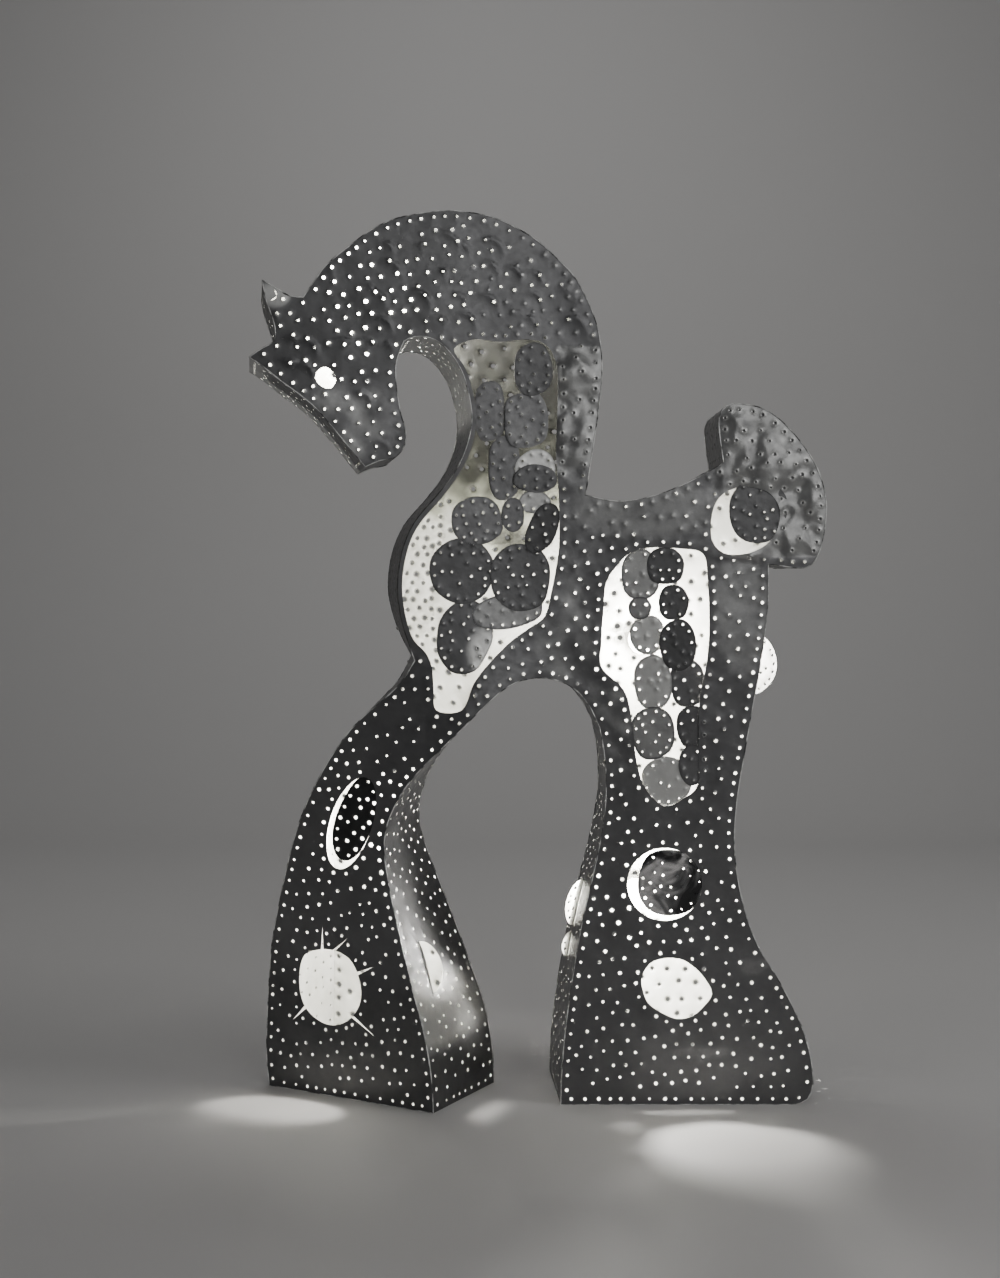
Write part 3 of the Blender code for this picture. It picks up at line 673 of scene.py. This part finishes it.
def tone_near(a, b):
    """How bright the near side is: dark legs, lighter body and head, bright patches, crumpled plates. This is
    the metal's own tone with painted light over it: lighter up the body and head, painted light patches, and
    a painted sheen on the crumpled plates.
    """
    u, v = a / height, b / height
    tone = 0.35 + 0.12 * ease((u + 0.02) / 0.08) - 0.05 * ease((0.16 - v) / 0.06)
    tone = tone + 0.09 * ease((v - 0.12) / 0.06) * ease((0.48 - v) / 0.05) * ease((-0.03 - u) / 0.05)
    tone = np.maximum(tone, (0.34 + 0.07 * ease((u + 0.12) / 0.12)) * ease((v - 0.66) / 0.10))
    light = 1 + 0.35 * rumple(a, b, 0.03, 27.0)
    for level, across, up, wide, high, uneven in painted_light_patches:
        tone = np.maximum(tone, level * (light if uneven else 1) * blob(a, b, across, up, wide, high))
    patch = ease((v - 0.376) / 0.004) * ease((0.478 - v) / 0.004) * ease((0.155 - u) / 0.008) * (u > 0.05)
    tone = np.maximum(tone, 0.50 * patch * (1 + 0.4 * rumple(a, b, 0.02, 17.0)))
    # Painted sheen on the crumpled plates
    tone = tone + 0.15 * crumpled(a, b) * (1 + 0.5 * rumple(a, b, 0.022, 14.0))
    return tone


def inner_far(a, b):
    """The far sheet's inner face, with painted shade for how far the lamps' light reaches: bright low down
    and in the head, darker and streaked up the neck, and a painted shadow behind the lower neck petals.
    """
    u, v = a / height, b / height
    dull = ease((v - 0.640 + 0.03 * rumple(a, b, 0.02, 37.0)) / 0.08) * ease((0.20 - u) / 0.06)
    head, crest = 0.9 * ease((-0.08 - u) / 0.05), 0.7 * ease((v - 0.885) / 0.03)
    dull = dull * (1 - np.maximum(head, crest))
    streaks = np.clip(0.5 + rumple(a, b * 0.35, 0.016, 31.0), 0, 1) ** 2
    top = ease((v - 0.74) / 0.05)
    bright = 1 - dull * (1 - (0.030 - 0.020 * top) - (0.12 - 0.085 * top) * streaks)
    return bright * (1 - 0.90 * blob(a, b, 0.028, 0.638, 0.026, 0.018))


# Cuts that run out from the shin window: base and tip of each, in shares of the height
shin_slits = [
    ((-0.216, 0.167), (-0.213, 0.196)),
    ((-0.200, 0.168), (-0.181, 0.184)),
    ((-0.169, 0.146), (-0.149, 0.154)),
    ((-0.243, 0.096), (-0.262, 0.080)),
    ((-0.180, 0.093), (-0.148, 0.074)),
]


def slitted(loop, slits, half_width=0.0022):
    """The loop with a narrow wedge cut out from it at each slit."""
    found = list(loop)
    for base, tip in slits:
        k = min(range(len(found)), key=lambda i: math.dist(found[i], scaled([base])[0]))
        before, here, after = Vector(found[k - 1]), Vector(found[k]), Vector(found[(k + 1) % len(found)])
        along = (after - before).normalized() * half_width
        found[k:k + 1] = [tuple(here - along), scaled([tip])[0], tuple(here + along)]
    return found


def curved(points):
    """The edge of a window."""
    return through(scaled(points), window_mesh, True)


windows = [curved(points) for points in (chest_window, hip_window, tail_window)]
windows.append(slitted(curved(shin_window), shin_slits))
windows += [curved(points) for points in (hoof_window, eye, ear_window)]
windows += [ellipse(*round_window), ellipse(*oval_window)]

sheet_fade = border_fade([outline], 0.02)
pieces = {}

# The near side's mesh is finer where it is hammered and crumpled
near_mesh = [
    (0.0036, lambda a, b: b > 0.70 * height or crumpled(a, b) > 0.05),
    (0.0080, None),
]


def shut_near(a, b):
    """How often a nail has left only a dimple: on the tail, the back and the back of the neck."""
    back, neck = blob(a, b, 0.17, 0.67, 0.09, 0.035), blob(a, b, 0.06, 0.90, 0.07, 0.07)
    return max(crumpled(a, b) * 1.2, back * 0.6, neck * 0.55)


loops = [outline] + windows
holes = punched(
    loops, spacing=0.0200, margin=0.0075, edge_spacing=0.0165, seed=11, slant=0.12, shut=shut_near,
    sunk=lambda a, b: crumpled(a, b) > 0.5,
)
obj, flat, marks = pierced(
    "near_sheet", loops, holes, lambda a, b, layer, rise: shifted(place(a, b, layer * sheet - rise)),
    near_mesh, relief_near,
)
paint(obj, tone_near(flat[:, 0], flat[:, 1]), marks)
pieces["near_side"] = obj

loops = [outline]
holes = punched(loops, spacing=0.0255, margin=0.0085, edge_spacing=0.0210, seed=12, slant=-0.1, radius=0.0029)
patch = through(scaled(chest_patch), 0.01, True)
patch_border = tree_of(dense(patch))
holes = [h for h in holes if not inside([h[:2]], patch)[0] and patch_border.find((h[0], h[1], 0))[2] > 0.004]
holes += punched(
    [patch], spacing=0.0148, margin=0.004, edge_spacing=0.0140, seed=13, jitter=0.14, radius=0.0026,
)
obj, flat, marks = pierced(
    "far_sheet", loops, holes, lambda a, b, layer, rise: shifted(place(a, b, depth - layer * sheet + rise)),
    0.0085, relief_far, burr=0.0013,
)
# Painted shade round the holes on the inner face, and an olive tint in the painted shade inside
inner = inner_far(flat[:, 0], flat[:, 1]) * np.where(marks > 0, 0.20, 1)
paint(obj, 0.9 * tone_near(flat[:, 0], flat[:, 1]), marks, inner, (0.97, 1.0, 0.86))
pieces["far_side"] = obj


def tongue(middle, half_length, reach, sides=16):
    """The outline of a leaf on a straight hinge: places along the strip and out from the hinge."""
    return [
        (middle + half_length * math.cos(math.pi * k / sides), reach * math.sin(math.pi * k / sides) ** 1.2)
        for k in range(sides + 1)
    ]


def tone_strip(name, v, across):
    """The brightness of a strip by height and by share of the depth, with painted light and shade: the throat
    dark below and bright above, a painted highlight towards the face strip's far edge and its end, and
    painted light on the calf strip.
    """
    # Painted shade low on the throat strip, where it faces away from the light, and painted light above
    if name == "throat":
        return 0.03 + 0.97 * ease((v - 0.735) / 0.05)
    # Painted highlight towards the face strip's far edge and at its end by the nose
    if name == "face":
        return 0.16 + 0.84 * ease((across - 0.55) / 0.25) + 0.6 * ease((v - 0.812) / 0.012)
    # Painted light on the calf strip: a bright band low down, stronger towards the near edge
    if name == "calf":
        upper = 0.06 * ease((v - 0.13) / 0.04) * ease((0.32 - v) / 0.10) * ease(1.3 - 2.0 * across)
        upper = upper - 0.12 * ease((v - 0.15) / 0.03) * ease((0.24 - v) / 0.04)
        lower = 0.75 * ease((v - 0.050) / 0.04) * ease((0.16 - v) / 0.05) * ease(1.4 - 1.1 * across)
        return 0.40 - 0.12 * ease((0.065 - v) / 0.05) + 0.12 * ease((v - 0.25) / 0.05) + upper + lower
    if name in ("hock", "mane", "back"):
        return np.full_like(v, 0.30)
    return np.full_like(v, 0.20)


# An opening starts this far from its leaf's hinge, and is smaller than the leaf by these shares
opening_start = 0.004
opening_length = 0.95
opening_reach = 0.92

front, back = sheet + gap, depth - sheet - gap
for k, (name, edge) in enumerate(edges.items()):
    stations = [gap / 2] + list(edge.along[1:-1]) + [edge.along[-1] - gap / 2]
    across = list(np.linspace(front, back, 13))
    border = [(s, front) for s in stations] + [(stations[-1], w) for w in across[1:-1]]
    border += [(s, back) for s in reversed(stations)] + [(stations[0], w) for w in reversed(across[1:-1])]
    openings = []
    for run, up, hinge_share, half_length, reach, _ in flaps.values():
        if run == name:
            side = 1 if run == "calf" else -1
            curve = tongue(
                edge.along_at_height(up * height), half_length * height * opening_length,
                reach * height * opening_reach,
            )
            openings.append([(s, hinge_share * depth + side * (opening_start + b)) for s, b in curve])
    loops = [border] + openings
    holes = punched(loops, spacing=0.022, margin=0.0085, edge_spacing=0.018, seed=40 + k)
    fade = border_fade([border], 0.02)
    obj, flat, marks = pierced(
        "strip_" + name, loops, holes,
        lambda s, w, layer, rise: shifted(place(*edge.at(s, layer - rise / sheet).T, w)),
        0.011, lambda a, b: fade(a, b) * rumple(a, b, 0.060, 20.0 + k) * 0.0009,
    )
    where = edge.at(flat[:, 0], 0) / height
    # Painted shade inside the strips round the neck and head, where the lamps' light falls off
    dark = 0.92 * ease((where[:, 0] + 0.19) / 0.14) * ease((where[:, 1] - 0.66) / 0.06)
    paint(obj, tone_strip(name, where[:, 1], flat[:, 1] / depth), marks, 1 - dark)
    pieces["edge_" + name] = obj

for name, (run, up, hinge_share, half_length, reach, opening) in flaps.items():
    edge = edges[run]
    turn = math.radians(opening)
    loop = tongue(edge.along_at_height(up * height), half_length * height, reach * height)
    loop = [(s, max(b, 0.0)) for s, b in loop]
    holes = punched([loop], spacing=0.013, margin=0.0055, edge_spacing=0.012, seed=70)

    def leaf(s, b, layer, rise, edge=edge, turn=turn, hinge=hinge_share * depth):
        """The leaf turned outwards about its hinge."""
        layer = 1 - layer + rise / sheet
        out = gap + b * math.sin(turn) + layer * sheet * math.cos(turn)
        w = hinge - b * math.cos(turn) + layer * sheet * math.sin(turn)
        return shifted(place(*edge.at(s, -out / sheet).T, w))

    obj, flat, marks = pierced(name + "_leaf", [loop], holes, leaf, 0.008)
    paint(obj, np.full(len(flat), 0.5), marks)
    pieces[name] = obj

# The calf's leaf casts no shadow, so that the strip beside its opening stays bright, as photographed
pieces["flap_calf"].visible_shadow = False


def uneven(loop, amount, seed):
    """The loop as cut by hand: its distance from its middle wanders a little."""
    middle = np.mean(loop, axis=0)
    found = []
    for k, (a, b) in enumerate(loop):
        angle = 2 * math.pi * k / len(loop)
        wander = noise.noise(Vector((math.cos(angle) * 1.3, math.sin(angle) * 1.3, seed * 0.37)))
        share = 1 + amount * wander
        found.append((middle[0] + (a - middle[0]) * share, middle[1] + (b - middle[1]) * share))
    return found


# A painted shine on a petal, with pits in it: its middle and half sizes, in shares of the height
painted_shines = {"petal_neck_11": (-0.017, 0.507, 0.018, 0.026)}
squarer_petals = ("petal_neck_00", "petal_neck_02", "petal_neck_03")
# Petals with a painted shadow along their left rim, as of a gap beside them
petals_with_painted_gap_shadow = ("petal_neck_02", "petal_neck_03", "petal_neck_05")


def petal(name, across, up, half_width, half_height, lean, layer, tone, seed, punch=0.76, shut=0.35):
    """One hung petal or disc. punch is its holes' share of the usual size, shut how often one is a dimple."""
    dice = random.Random(seed)

    def shine(a, b):
        return blob(a, b, *painted_shines[name]) if name in painted_shines else 0.0 * a

    fullness = 0.72 if name in squarer_petals else dice.uniform(0.88, 1.0)
    loop = uneven(ellipse(across, up, half_width, half_height, lean, fullness), 0.08, seed)
    holes = punched(
        [loop], spacing=0.0150, margin=0.0062, edge_spacing=0.0165, seed=seed,
        slant=dice.uniform(-0.4, 0.4), jitter=0.24, radius=hole_radius * punch,
        shut=lambda a, b: max(shut, shine(a, b)), sunk=lambda a, b: shine(a, b) > 0.4,
    )
    start = sheet + petal_gap + (layer - 1) * (sheet + petal_gap)
    fade = border_fade([loop], 0.012)
    obj, flat, marks = pierced(
        name, [loop], holes, lambda a, b, layer, rise: shifted(place(a, b, start + layer * sheet - rise)),
        0.0036, lambda a, b: fade(a, b) * 0.0002 * rumple(a, b, 0.02, seed),
    )
    # Painted shade round each rim, deep along the left rim of the petals with a painted gap shadow, and the
    # painted shine
    rim = 1 - ease(fade(flat[:, 0], flat[:, 1]) * 4)
    left = ease((across * height - flat[:, 0]) / (half_width * height))
    shadowed = 0.95 * left if name in petals_with_painted_gap_shadow else 0.35
    shining = shine(flat[:, 0], flat[:, 1])
    paint(obj, (tone + (1.0 - tone) * shining) * (1 - rim * shadowed), marks)
    pieces[name] = obj


neck_tones = (0.42, 0.34, 0.50, 0.42, 0.95, 0.36, 0.70, 0.24, 0.48, 0.44, 0.36, 0.40, 0.38, 0.60)
hip_tones = (0.70, 0.36, 0.36, 0.60, 0.92, 0.34, 0.84, 0.48, 0.64, 0.42, 0.48, 1.00)
for k, values in enumerate(neck_petals):
    petal(f"petal_neck_{k:02d}", *values, neck_tones[k], 100 + k)
for k, values in enumerate(hip_petals):
    petal(f"petal_hip_{k:02d}", *values, hip_tones[k], 130 + k)
petal("disc_tail", *tail_disc, tone=0.38, seed=150)
petal("disc_oval", *oval_disc, tone=0.14, seed=151, punch=1.0, shut=0.0)
petal("disc_round", *round_disc, tone=0.62, seed=152)


def seam(name, w, outwards, seed):
    """The uneven solder along the corner where a side sheet meets the strips, darkened down the throat with
    painted shade.
    """
    line = dense(outline, 0.0032)
    sides, count = 5, len(line)
    path = np.array(line)
    path_in = np.roll(path, -1, axis=0) - np.roll(path, 1, axis=0)
    path_in /= np.linalg.norm(path_in, axis=1)[:, None]
    normal = np.stack([path_in[:, 1], -path_in[:, 0]], axis=1)
    size = np.array([
        0.0006 + 0.0008 * abs(noise.noise(Vector((a / 0.008, b / 0.008, seed)))) for a, b in line
    ])
    rings = []
    for j in range(sides):
        angle = 2 * math.pi * j / sides
        out = size * math.cos(angle)
        rings.append(shifted(place(
            path[:, 0] + normal[:, 0] * out, path[:, 1] + normal[:, 1] * out,
            w + outwards * (0.0002 + size * math.sin(angle)),
        )))
    verts = np.stack(rings, axis=1).reshape(-1, 3)
    faces = []
    for k in range(count):
        for j in range(sides):
            a, b = k * sides + j, k * sides + (j + 1) % sides
            c, d = ((k + 1) % count) * sides + (j + 1) % sides, ((k + 1) % count) * sides + j
            faces.append((a, b, c, d) if outwards < 0 else (d, c, b, a))
    mesh = bpy.data.meshes.new(name)
    mesh.from_pydata(verts.tolist(), [], faces)
    flat = np.repeat(path, sides, axis=0)
    lay_pattern(mesh, flat)
    u, v = flat.T / height
    # Painted shade down the throat
    painted_throat_shade = ease((0.73 - v) / 0.05) * ease((v - 0.505) / 0.01) * (u < 0)
    lay_tone(mesh, [1 - 0.93 * painted_throat_shade] * 3)
    mesh.update()
    mesh.shade_smooth()
    return added(name, mesh)


seams = [seam("seam_near", 0.0, -1, 5.0), seam("seam_far", depth, 1, 8.0)]


class Look:
    """A material made of nodes. Constant values sit on the shader's own sockets."""

    def __init__(self, name, **values):
        self.material = bpy.data.materials.new(name)
        self.material.use_nodes = True
        self.shader = self.material.node_tree.nodes["Principled BSDF"]
        self.set(self.shader, values)

    def set(self, node, values):
        for name, value in values.items():
            node.inputs[name.replace("_", " ")].default_value = value

    def add(self, kind, **values):
        node = self.material.node_tree.nodes.new("ShaderNode" + kind)
        self.set(node, values)
        return node

    def link(self, source, node, name):
        self.material.node_tree.links.new(source, node.inputs[name])

    def on_pattern(self, node):
        """Lays a texture over the flat pattern."""
        pattern = self.add("UVMap")
        pattern.uv_map = "pattern"
        self.link(pattern.outputs["UV"], node, "Vector")

    def speckle(self, **values):
        node = self.add("TexNoise", **values)
        self.on_pattern(node)
        return node.outputs["Fac"]

    def tone(self):
        node = self.add("VertexColor")
        node.layer_name = "tone"
        return node.outputs["Color"]

    def maths(self, operation, *terms):
        """A Math node over numbers and outputs of other nodes."""
        node = self.add("Math")
        node.operation = operation
        for k, term in enumerate(terms):
            if isinstance(term, float):
                node.inputs[k].default_value = term
            else:
                self.link(term, node, k)
        return node.outputs[0]

    def ramp(self, factor, first, last, middle=None):
        """A colour ramp. Each stop is its place and its red, green and blue."""
        node = self.add("ValToRGB")
        stops = node.color_ramp.elements
        for stop, (position, colour) in zip(stops, (first, last)):
            stop.position = position
            stop.color = (*colour, 1)
        if middle:
            stops.new(middle[0]).color = (*middle[1], 1)
        self.link(factor, node, "Fac")
        return node.outputs["Color"]

    def toned(self, colour):
        """The colour multiplied by the painted tone."""
        node = self.add("Mix")
        node.data_type = "RGBA"
        node.blend_type = "MULTIPLY"
        node.inputs["Factor"].default_value = 1
        self.link(colour, node, "A")
        self.link(self.tone(), node, "B")
        return node.outputs["Result"]

    def colour(self, source):
        self.link(source, self.shader, "Base Color")

    def roughness(self, source, low, high):
        node = self.add("MapRange", To_Min=low, To_Max=high)
        self.link(source, node, "Value")
        self.link(node.outputs["Result"], self.shader, "Roughness")

    def bump(self, source, strength, distance):
        node = self.add("Bump", Strength=strength, Distance=distance)
        self.link(source, node, "Height")
        self.link(node.outputs["Normal"], self.shader, "Normal")


def outside_metal():
    """Blackened to bare steel by the painted tone, which also carries painted light and shade, smudged, with
    shallow hammer marks.
    """
    look = Look("outside_metal", Metallic=0.75)
    smudge = look.speckle(Scale=28, Detail=6, Roughness=0.65)
    level = look.maths("MULTIPLY_ADD", smudge, 0.26, look.tone())
    black, grey, bare = (0.022, 0.022, 0.022), (0.17, 0.17, 0.172), (0.66, 0.66, 0.64)
    look.colour(look.ramp(level, (0.20, black), (1.0, bare), (0.62, grey)))
    look.roughness(look.speckle(Scale=140, Detail=4), 0.22, 0.48)
    cells = look.add("TexVoronoi", Scale=27, Randomness=0.8)
    look.on_pattern(cells)
    domes = look.maths("MULTIPLY", cells.outputs["Distance"], -0.12)
    look.bump(look.maths("MULTIPLY_ADD", smudge, 0.55, domes), 0.20, 0.004)
    return look.material


def solder_metal():
    look = Look("solder", Metallic=0.25, Roughness=0.4)
    patches = look.speckle(Scale=45, Detail=5)
    dull, bright = (0.08, 0.08, 0.08), (0.86, 0.86, 0.84)
    look.colour(look.toned(look.ramp(patches, (0.40, dull), (0.58, bright))))
    return look.material


def inside_metal():
    """Bright and matt, darkened by the painted tone, which is painted shade where the lamps' light falls off.
    """
    look = Look("inside_metal", Metallic=0.2, Roughness=0.5)
    smudge = look.speckle(Scale=22, Detail=5)
    look.colour(look.toned(look.ramp(smudge, (0.3, (0.56, 0.56, 0.53)), (0.75, (0.78, 0.78, 0.76)))))
    look.bump(smudge, 0.3, 0.003)
    return look.material


def polished_metal():
    """The round disc: polished, with a tarnished swirl."""
    look = Look("polished_metal", Metallic=0.75)
    swirl = look.speckle(Scale=17, Detail=3, Distortion=1.6)
    tarnish, between, bright = (0.05, 0.05, 0.051), (0.24, 0.24, 0.24), (0.86, 0.84, 0.83)
    look.colour(look.ramp(swirl, (0.42, tarnish), (0.62, bright), (0.52, between)))
    look.roughness(swirl, 0.10, 0.30)
    look.bump(swirl, 0.3, 0.004)
    return look.material


def frosted_bulb():
    look = Look("frosted_bulb", Roughness=0.4, Emission_Color=(1.0, 0.95, 0.86, 1), Emission_Strength=30)
    frost = look.add("TexNoise", Scale=220).outputs["Fac"]
    look.colour(look.ramp(frost, (0.0, (0.84, 0.82, 0.77)), (1.0, (0.97, 0.95, 0.91))))
    return look.material


def holder_ceramic():
    look = Look("holder_ceramic", Roughness=0.55)
    speck = look.add("TexNoise", Scale=300).outputs["Fac"]
    look.colour(look.ramp(speck, (0.0, (0.55, 0.55, 0.52)), (1.0, (0.80, 0.80, 0.77))))
    return look.material


outside, within, polished = outside_metal(), inside_metal(), polished_metal()
for node, obj in pieces.items():
    obj.data.materials.append(polished if node == "disc_round" else outside)
    obj.data.materials.append(within)
    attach(obj, "root")
    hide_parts(node)

solder = solder_metal()
for obj in seams:
    obj.data.materials.append(solder)
    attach(obj, "root")

# The lamps: frosted bulbs that glow, on matt holders, each with a light at its middle
bulb_material, holder_material = frosted_bulb(), holder_ceramic()
for name, watts in lamp_watts.items():
    bulb, holder = bpy.data.objects["bulb_" + name], bpy.data.objects["holder_" + name]
    bulb.data.materials.clear()
    bulb.data.materials.append(bulb_material)
    bulb.visible_shadow = False
    holder.data.materials.clear()
    holder.data.materials.append(holder_material)
    low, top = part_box("bulb_" + name)
    light = bpy.data.lights.new("glow_" + name, "POINT")
    light.energy = watts
    light.color = (1.0, 0.975, 0.93)
    light.shadow_soft_size = 0.015
    added("glow_" + name, light).location = (low + top) / 2

# Floor and backdrop in one sweep: rows of two points, back along y, then up a quarter circle
floor_reach, backdrop_height = 16.0, 9.0
sweep_starts, sweep_radius, sweep_steps = 2.2, 1.2, 12
rows = [(-floor_reach, 0.0), (sweep_starts, 0.0)]
for k in range(1, sweep_steps + 1):
    angle = math.pi / 2 * k / sweep_steps
    rows.append((sweep_starts + sweep_radius * math.sin(angle), sweep_radius * (1 - math.cos(angle))))
rows.append((sweep_starts + sweep_radius, backdrop_height))
verts = [(x, y, z) for y, z in rows for x in (-floor_reach, floor_reach)]
mesh = bpy.data.meshes.new("studio_floor")
mesh.from_pydata(verts, [], [(2 * k, 2 * k + 1, 2 * k + 3, 2 * k + 2) for k in range(len(rows) - 1)])
mesh.shade_smooth()
floor = added("studio_floor", mesh)
mesh.materials.append(Look("pale_floor", Base_Color=(0.56, 0.55, 0.54, 1), Roughness=0.6).material)


def area_light(name, stands_at, looks_at, size, watts):
    light = bpy.data.lights.new(name, "AREA")
    light.size = size
    light.energy = watts
    made = added(name, light)
    made.location = stands_at
    made.rotation_euler = (Vector(looks_at) - Vector(stands_at)).to_track_quat("-Z", "Y").to_euler()


area_light("key", (1.5, -3.4, 1.7), (0, 0, 0.9), 2.0, 20)
area_light("side", (2.6, -0.9, 1.5), (0.1, 0, 0.8), 1.0, 20)
area_light("fill", (-2.8, -2.0, 1.4), (0, 0, 0.7), 2.2, 9)
area_light("back", (-0.2, 0.9, 3.0), (0.2, 2.6, 0.9), 1.2, 19)
world = bpy.data.worlds.new("studio")
world.use_nodes = True
world.node_tree.nodes["Background"].inputs["Color"].default_value = (0.9, 0.92, 0.95, 1)
world.node_tree.nodes["Background"].inputs["Strength"].default_value = 0.07
bpy.context.scene.world = world

# The camera is held level. Its place is fitted to the photograph's feet and strips
camera_away, camera_up = 2.391, 0.7118
camera = bpy.data.cameras.new("camera")
camera.lens = 50
camera.sensor_width = 36
camera.sensor_fit = "AUTO"
camera.shift_y = -0.0493
camera.clip_end = 50
view_from = added("camera", camera)
view_from.location = (-origin[0], -camera_away - origin[1], camera_up)
view_from.rotation_euler = (math.pi / 2, 0, 0)
bpy.context.scene.camera = view_from
